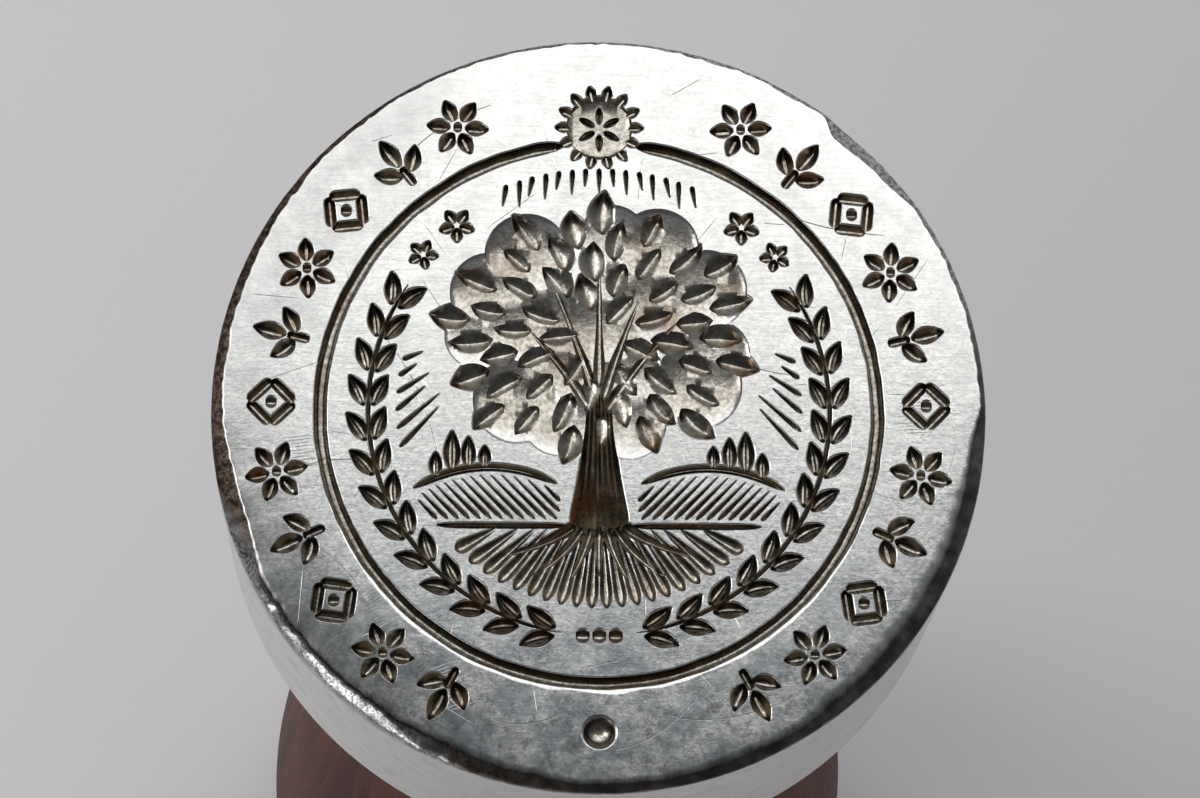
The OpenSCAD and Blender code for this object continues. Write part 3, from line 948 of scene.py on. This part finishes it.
# The wreath: two laurel branches from a knot at the foot, each with pairs of leaves on a fine stem,
# and two small flowers over the tip of each
wreath_r = 85 * step
wreath_foot = 9
wreath_tip = 124
wreath_pairs = 13
wreath_tilt = math.radians(26)
stem_half = 0.8 * step
stem_deep = 0.22 * mm
stem_out = 1.6
laurel_long = 13.5 * step
laurel_broad = 5.8 * step
laurel_deep = 0.42 * mm
laurel_curl = 0.12
knot_gap = 6
knot_r = 2.6 * step
small_flowers = ((42, 5.2), (53, 6.2))
small_flower_r = 88 * step
small_petals = 5
for side in (-1, 1):
    stem_way = curve_round((0, 0), wreath_r, side * wreath_foot - 90, side * wreath_tip - 90)
    fine_line(stem_way, stem_half, stem_deep, wide=line_wide, rings=48)
    for i in range(wreath_pairs):
        turn = math.radians(wreath_foot + (i + 0.2) * (wreath_tip - wreath_foot) / wreath_pairs)
        stem = wreath_r * Vector((side * math.sin(turn), -math.cos(turn)))
        along = math.atan2(math.sin(turn), side * math.cos(turn))
        for out in (-1, 1):
            leaf_cut(stem + stem.normalized() * out * stem_out * step, laurel_long, laurel_broad,
                     along - side * out * wreath_tilt, laurel_deep, curl=side * out * laurel_curl)
for i in (-1, 0, 1):
    round_cut((i * knot_gap * step, -wreath_r), knot_r, 0.3 * mm)
for side in (-1, 1):
    for bearing, size in small_flowers:
        turn = math.radians(90 - side * (90 - bearing))
        middle = small_flower_r * heading(turn)
        for petal in range(small_petals):
            direction = turn + petal * full_turn / small_petals
            leaf_cut(middle + 0.9 * step * heading(direction), size * step, 0.62 * size * step, direction,
                     0.34 * mm, section=punched)


# Rays round the crown, two hatched hills behind the tree with poplars on their brows, and the
# furrows of a ploughed field that spread from its foot
def to_circle(start, ahead, radius):
    """The point where a line from start along ahead meets a circle round the middle of the face."""
    across = start.dot(ahead)
    return start + ahead * (math.sqrt(across * across + radius * radius - start.length_squared) - across)


path_checks = 60


def kept(path, allowed):
    """The stretch of a path along which its points are allowed, if there is one."""
    places = [i / path_checks for i in range(-path_checks, path_checks + 1)]
    fits = [t for t in places if allowed(path(t))]
    if not fits:
        return None
    low, high = fits[0], fits[-1]

    def at(t):
        return path(low + (high - low) * (t + 1) / 2)
    return at


wreath_inside = 75 * step
horizon = root_y + 2 * step
rays_a_side = 27
ray_gap = 4.5
ray_starts = (1.15, 1.21)
top_rays = 8
top_ray_end = 93 * step
ray_least = 5 * step
for i in range(-rays_a_side, rays_a_side + 1):
    angle = math.radians(90 + i * ray_gap)
    ahead = heading(angle)
    start = on_crown(angle, ray_starts[i % 2])
    end = to_circle(crown, ahead, top_ray_end if abs(i) < top_rays else wreath_inside)
    if (end - start).dot(ahead) > ray_least:
        fine_line(straight(end, start), 1.1 * step, 0.24 * mm)

hill_x = 40 * step
hill_r = 52 * step
hill_drop = 30 * step
brow_clear = 2.5 * step
land_clear = 2 * step
trunk_clear = 14 * step
hatches_a_side = 9
hatch_gap = 4 * step
hatch_run = 15 * step
hatch_rise = 30 * step
poplars = ((2, 9), (8, 13), (14, 16.5), (20, 10.5))


def open_land(point):
    above = point.y > horizon + land_clear
    return point.length < wreath_inside and above and abs(point.x) > trunk_clear


def engrave_hill(side):
    """One hill with its brow, the hatching under it and the poplars on it."""
    hill = Vector((side * hill_x, horizon - hill_drop))

    def under_brow(point):
        return open_land(point) and (point - hill).length < hill_r - brow_clear

    brow = kept(curve_round(hill, hill_r, 0, 180), open_land)
    fine_line(brow, 1.5 * step, 0.3 * mm, wide=line_wide, rings=26, worn=0.7)
    for i in range(-hatches_a_side, hatches_a_side + 1):
        foot = Vector((side * (hill_x + i * hatch_gap), horizon))
        hatch = straight(foot - Vector((side * hatch_run, 0)), foot + Vector((side * hatch_run, hatch_rise)))
        hatch = kept(hatch, under_brow)
        if hatch:
            fine_line(hatch, 1.0 * step, 0.22 * mm)
    for along, tall in poplars:
        rise = math.sqrt(hill_r ** 2 - (along * step) ** 2) - 0.4 * step
        leaf_cut(hill + Vector((side * along * step, rise)), tall * step, (2.2 + 0.22 * tall) * step,
                 quarter_turn, 0.34 * mm)


for side in (-1, 1):
    engrave_hill(side)

vanishing = Vector((0, root_y + 22 * step))
furrow_gap = 6.4
furrow_count = 10
furrow_least = 4 * step
furrow_share = 0.055
furrow_deep = 0.3 * mm
for side in (-1, 1):
    ground = straight((side * 11 * step, horizon), (side * 60 * step, horizon))
    fine_line(ground, 1.1 * step, 0.3 * mm, wide=line_wide, rings=12, worn=0.7)
    for i in range(furrow_count):
        ahead = heading(math.radians(-90 + side * (0.5 + i) * furrow_gap))
        start = vanishing + ahead * (vanishing.y - horizon + 1 * step) / -ahead.y
        end = to_circle(vanishing, ahead, wreath_inside)
        if (end - start).dot(ahead) > furrow_least:
            graver_cut(straight(end, start), furrow_share * (end - vanishing).length, furrow_deep,
                       wide=taper_wide, rings=14, worn=0.5)

# The border: flowers, sprigs and lozenges struck with hand punches, in two rows that mirror each
# other. The parts of a mark are shares of its height.
border_r = 16.05 * mm
border_count = 11
border_start = 26
border_end = 28
mark_h = 2.8 * mm
punch_deep = 0.45 * mm
flower_petals = 6


def flower(middle, turn):
    for petal in range(flower_petals):
        direction = turn + petal * full_turn / flower_petals
        leaf_cut(middle + heading(direction) * 0.12 * mark_h, 0.44 * mark_h, 0.24 * mark_h, direction,
                 punch_deep, section=punched)
    round_cut(middle, 0.08 * mark_h, 0.25 * mm)


def sprig(middle, turn):
    away = heading(turn)
    aside = Vector((-away.y, away.x))
    leaf_cut(middle - away * 0.1 * mark_h, 0.62 * mark_h, 0.28 * mark_h, turn, 0.5 * mm, section=punched)
    for hand in (-1, 1):
        foot = middle - away * 0.26 * mark_h + aside * hand * 0.05 * mark_h
        leaf_cut(foot, 0.54 * mark_h, 0.26 * mark_h, turn + hand * math.radians(50), punch_deep,
                 curl=hand * 0.1, section=punched)
    stalk = straight(middle - away * 0.52 * mark_h, middle - away * 0.1 * mark_h)
    graver_cut(stalk, 0.07 * mark_h, 0.4 * mm, wide=line_wide, section=punched, rings=8)


def lozenge(middle, turn):
    corners = [middle + 0.4 * mark_h * heading(turn + quarter_turn * corner) for corner in range(5)]
    for here, there in zip(corners, corners[1:]):
        graver_cut(straight(here, there), 0.09 * mark_h, punch_deep, wide=line_wide, section=punched,
                   rings=10)
    round_cut(middle, 0.1 * mark_h, 0.3 * mm)


border_marks = (flower, sprig, lozenge)
for side in (-1, 1):
    for i in range(border_count):
        bearing = border_start + i * (180 - border_start - border_end) / (border_count - 1)
        turn = math.radians(90 - side * bearing)
        border_marks[i % len(border_marks)](heading(turn) * border_r, turn)

# The rosette that breaks the ring line at the top, whose parts are shares of its radius, and the
# drilled dot at the foot of the border
rosette_r = 1.9 * mm
rosette = Vector((0, 14.475 * mm))
rosette_teeth = 14
rosette_petals = 6
round_cut(rosette, 0.86 * rosette_r, 0.28 * mm, section=sunk, rings=22)
for i in range(rosette_teeth):
    angle = full_turn * i / rosette_teeth
    leaf_cut(rosette + heading(angle) * 0.72 * rosette_r, 0.46 * rosette_r, 0.24 * rosette_r, angle,
             0.34 * mm, section=punched)
for i in range(rosette_petals):
    angle = quarter_turn + full_turn * i / rosette_petals
    leaf_cut(rosette + heading(angle) * 0.08 * rosette_r, 0.6 * rosette_r, 0.26 * rosette_r, angle,
             0.58 * mm)
dot_r = 0.82 * mm
dot_depth = 0.55 * mm
dot_steps = 48
dot_section = [(0, -1), (0.14, -0.985), (0.28, -0.94), (0.42, -0.86), (0.56, -0.74), (0.7, -0.58),
               (0.82, -0.37), (0.91, -0.15), (1, -0.03), (1.14, 0.02)]
dot_outline = [(out * dot_r, deep * dot_depth) for out, deep in dot_section]
dot_outline += [(dot_outline[-1][0], clear), (0, clear)]
dot_bm = turned(dot_outline, dot_steps, closed=False)
dot_bm.transform(Matrix.Translation((0, -border_r, face_z - rubbed_at(-90, border_r))))
cuts.append(steel_object("dot", dot_bm, 1))

# The ring line, cut on the lathe with a narrow tool that wandered a little, and stopped short of the
# rosette
ring_r = 13.65 * mm
ring_half = 0.29 * mm
ring_depth = 0.62 * mm
ring_gap = math.degrees(math.asin(0.9 * rosette_r / ring_r))
ring_way = curve_round((0, 0), ring_r, 90 + ring_gap, 450 - ring_gap)
ring_wander = 0.035 * mm


def ring_line(t):
    at = ring_way(t)
    return at * (1 + ring_wander / ring_r * noise.noise(at.to_3d() * 700))


def ring_wide(t):
    return (1 - abs(t) ** 90) * (1 + 0.16 * noise.noise(ring_way(t).to_3d() * 1100))


graver_cut(ring_line, ring_half, ring_depth, wide=ring_wide, section=grooved, rings=300)

# Along its lower half the line's outer edge is rubbed over into a bright lip
lip_half = 0.24 * mm
lip_depth = 0.035 * mm
lip_way = curve_round((0, 0), ring_r + ring_half, -166, -16)


def lip_wide(t):
    return dish_wide(t) * (0.8 + 0.5 * noise.noise(lip_way(t).to_3d() * 900))


fine_line(lip_way, lip_half, lip_depth, wide=lip_wide, rings=160, worn=0.15)

# Scratches from use, each from one point to another past a third, in millimetres on the face
scratches = [((0.8, -16.9), (3.4, -16.4), (5.2, -13.6)), ((-15.2, -3.2), (-11.5, -1.9), (-10.4, -3.4)),
             ((-14.8, -6.2), (-12.4, -7.6), (-11.2, -9.6)), ((8.2, 10.6), (10.4, 9.2), (14.2, 9.0)),
             ((-5.2, -15.4), (-3.8, -16.0), (-1.9, -15.2)), ((11.6, -8.6), (13.2, -9.8), (14.9, -9.4)),
             ((-9.6, 12.8), (-8.2, 14.6), (-5.4, 15.6)), ((2.6, 5.2), (5.0, 2.4), (9.4, 1.8)),
             ((-10.4, 3.4), (-8.6, 1.2), (-7.8, -2.6)), ((3.4, -15.2), (5.9, -15.9), (9.6, -14.2))]
scratch_half = 0.014 * mm
scratch_deep = 0.018 * mm
for scratch in scratches:
    scratch_way = bend(*(Vector(point) * mm for point in scratch))
    fine_line(scratch_way, scratch_half, scratch_deep, wide=line_wide, rings=20, worn=0.2)

# Hair scratches spread over the face, and four rows of strokes from a burnisher, each given by its
# start in millimetres, how many strokes it has, their slant in degrees and their length
hair_half = 0.009 * mm
hair_deep = 0.006 * mm
hair_count = 70
hair_reach = 17.6 * mm
stroke_rows = [((-8.2, -13.0), 14, 20, 1.5), ((-11.6, -9.4), 12, 35, 1.3), ((-15.6, -1.6), 10, 8, 1.6),
               ((14.6, 0.4), 10, 4, 1.5)]
stroke_gap = 0.17
stroke_shift = 0.3


def hair_line(start, end):
    fine_line(straight(start, end), hair_half, hair_deep, wide=line_wide, rings=4, worn=0.15)


for i in range(hair_count):
    middle = hair_reach * math.sqrt((i + 0.5) / hair_count) * heading(i * golden_turn)
    angle = 2.2 + 0.9 * math.sin(7 * i) if i % 3 else 0.6 + 0.5 * math.sin(5 * i)
    half = (0.6 + 1.1 * (0.5 + 0.5 * math.sin(11 * i))) * mm * heading(angle)
    hair_line(middle - half, middle + half)
for start, count, slant, reach in stroke_rows:
    ahead = heading(math.radians(slant)) * mm
    aside = Vector((ahead.y, -ahead.x))
    for i in range(count):
        foot = Vector(start) * mm + aside * stroke_gap * i + ahead * stroke_shift * math.sin(3 * i)
        hair_line(foot, foot + ahead * reach)

# All cuts are joined two by two and then sunk into the blank at once, and splinters are cleaned off
splinter = 0.001 * mm
cleanings = 2
while len(cuts) > 1:
    cuts = [worked(*pair, "UNION") if len(pair) == 2 else pair[0]
            for pair in (cuts[i:i + 2] for i in range(0, len(cuts), 2))]
die_bm = taken_apart(worked(die_shape, cuts[0], "DIFFERENCE"))
for _ in range(cleanings):
    bmesh.ops.collapse(die_bm, edges=[edge for edge in die_bm.edges if edge.calc_length() < splinter])

# Cuts are smooth inside and meet the face in a crisp edge, and the level of the face stays flat
creases = [math.radians(20), math.radians(42)]
level_z = 0.9999995
for face in die_bm.faces:
    face.smooth = face.normal.z < level_z
for edge in die_bm.edges:
    steels = {face.material_index for face in edge.link_faces}
    edge.smooth = len(steels) == 1 and edge.calc_face_angle(0) < creases[max(steels)]

# Where two triangles lie back to back on the same corners, both go, and the skin stays closed
bmesh.ops.triangulate(die_bm, faces=die_bm.faces, ngon_method="BEAUTY")
on_corners = {}
for face in die_bm.faces:
    on_corners.setdefault(frozenset(face.verts), []).append(face)
folded = [face for faces in on_corners.values() if len(faces) == 2 for face in faces]
bmesh.ops.delete(die_bm, geom=folded, context="FACES")
die = finished("engraved_die", die_bm, die_steels, "die", "seal_die")

# Floor: a plain pale grey table top, which the seal stands on, with painted shade that darkens it
# towards the right. Far from the seal it runs into the same pale grey as the room behind it.

pale = (0.5, 0.49, 0.51)
table_left = (0.81, 0.8, 0.82)
table_painted_shade = (0.7, 0.68, 0.695)
table_size = 6
table_top = Finish("pale table")
# Painted shade: the table top darkens towards the right
painted_shade_right = table_top.ramp(table_top.axis("X"), -0.07, 0.09)
table_top.set(Base_Color=table_top.blend(painted_shade_right, table_left, table_painted_shade), Roughness=0.9)
from_seal = table_top.nodes.new("ShaderNodeVectorMath")
from_seal.operation = "LENGTH"
table_top.links.new(table_top.place, from_seal.inputs[0])
ray = table_top.nodes.new("ShaderNodeLightPath").outputs
seen = table_top.figure("MAXIMUM", ray["Is Camera Ray"], ray["Is Glossy Ray"])
seen = table_top.figure("MAXIMUM", seen, ray["Is Transmission Ray"])
far = table_top.times(seen, table_top.ramp(from_seal.outputs["Value"], 0.1, 0.6))
glow = table_top.nodes.new("ShaderNodeEmission")
glow.inputs["Color"].default_value = (*pale, 1)
both = table_top.nodes.new("ShaderNodeMixShader")
for socket, output in zip(both.inputs, (far, table_top.shader.outputs[0], glow.outputs[0])):
    table_top.links.new(output, socket)
table_top.links.new(both.outputs[0], table_top.nodes["Material Output"].inputs["Surface"])
floor_bm = bmesh.new()
bmesh.ops.create_grid(floor_bm, x_segments=1, y_segments=1, size=table_size)
floor = as_object("floor", floor_bm, [table_top.material])

# Light: a room that is pale along the floor and dim above it, most of all in front. A large soft
# light stands above and behind the seal, and the ground face reflects its near edge across the
# middle. A weaker one is high on the left, and two low ones glint on the filed rim.

scene = bpy.context.scene
scene.view_settings.view_transform = "Standard"
world = bpy.data.worlds.new("room")
scene.world = world
world.use_nodes = True
room = world.node_tree.nodes
room_links = world.node_tree.links
gaze = room.new("ShaderNodeSeparateXYZ")
room_links.new(room.new("ShaderNodeTexCoord").outputs["Generated"], gaze.inputs[0])


def across_room(axis, low, high, to_low, to_high):
    """A value that changes from one side of the room to the other along an axis."""
    node = room.new("ShaderNodeMapRange")
    node.interpolation_type = "SMOOTHSTEP"
    room_links.new(gaze.outputs[axis], node.inputs["Value"])
    for socket, value in zip(node.inputs[1:], (low, high, to_low, to_high)):
        socket.default_value = value
    return node.outputs["Result"]


dim = room["Background"]
dim.inputs["Color"].default_value = (0.93, 0.97, 0.99, 1)
room_links.new(across_room("Y", -0.4, 0.5, 0.09, 0.33), dim.inputs["Strength"])
backdrop = room.new("ShaderNodeBackground")
backdrop.inputs["Color"].default_value = (*pale, 1)
whole_room = room.new("ShaderNodeMixShader")
for socket, output in zip(whole_room.inputs, (across_room("Z", 0.1, 0.3, 0, 1), backdrop.outputs[0],
                                              dim.outputs[0])):
    room_links.new(output, socket)
room_links.new(whole_room.outputs[0], room["World Output"].inputs["Surface"])


def soft_light(name, at, towards, size, power, colour):
    lamp = bpy.data.lights.new(name, "AREA")
    lamp.shape = "RECTANGLE"
    lamp.size, lamp.size_y = size
    lamp.energy = power
    lamp.color = colour
    holder = bpy.data.objects.new(name, lamp)
    scene.collection.objects.link(holder)
    holder.location = at
    holder.rotation_euler = (Vector(towards) - Vector(at)).to_track_quat("-Z", "Y").to_euler()


face_centre = Vector((0, 0, face_z))
soft_light("large soft light", (0.02, 0.4, 0.7), (0.02, 0, face_z), (0.9, 0.55), 2.6, (1, 0.99, 0.97))
soft_light("high left light", (-0.66, 0.14, 0.74), (0, 0, 0.06), (0.35, 0.5), 2.1, (1, 0.99, 0.98))
soft_light("low left light", (-0.48, -0.43, 0.17), face_centre, (0.3, 0.16), 0.5, (1, 1, 1))
soft_light("low right light", (0.52, -0.42, 0.16), face_centre, (0.2, 0.12), 0.1, (1, 1, 1))

# Camera: a long lens above the front of the seal, tipped from its axis by the angle that the
# photograph shows, with the face a little under the middle of the frame.

view_tilt = math.radians(14.58)
view_bearing = math.radians(-6.32)
view_distance = 228 * mm
frame_px = 1200
px_per_mm = 20.431
face_px = (599.3, 409.4)
middle_px = (600, 399)
sensor = 36
to_camera = Vector((math.sin(view_bearing) * math.sin(view_tilt),
                    -math.cos(view_bearing) * math.sin(view_tilt),
                    math.cos(view_tilt)))
image_up = (Vector((0, 1, 0)) - to_camera * to_camera.y).normalized()
image_right = image_up.cross(to_camera)
camera_data = bpy.data.cameras.new("camera")
camera_data.sensor_width = sensor
camera_data.sensor_fit = "HORIZONTAL"
camera_data.lens = sensor * px_per_mm / mm * view_distance / frame_px
camera_data.clip_start = 0.01
camera = bpy.data.objects.new("camera", camera_data)
scene.collection.objects.link(camera)
camera_at = face_centre + to_camera * view_distance
off_middle = image_right * (middle_px[0] - face_px[0]) - image_up * (middle_px[1] - face_px[1])
aim = face_centre + off_middle / px_per_mm * mm
backwards = (camera_at - aim).normalized()
right = image_up.cross(backwards).normalized()
up = backwards.cross(right)
camera.matrix_world = Matrix.Translation(camera_at) @ Matrix((right, up, backwards)).transposed().to_4x4()
scene.camera = camera
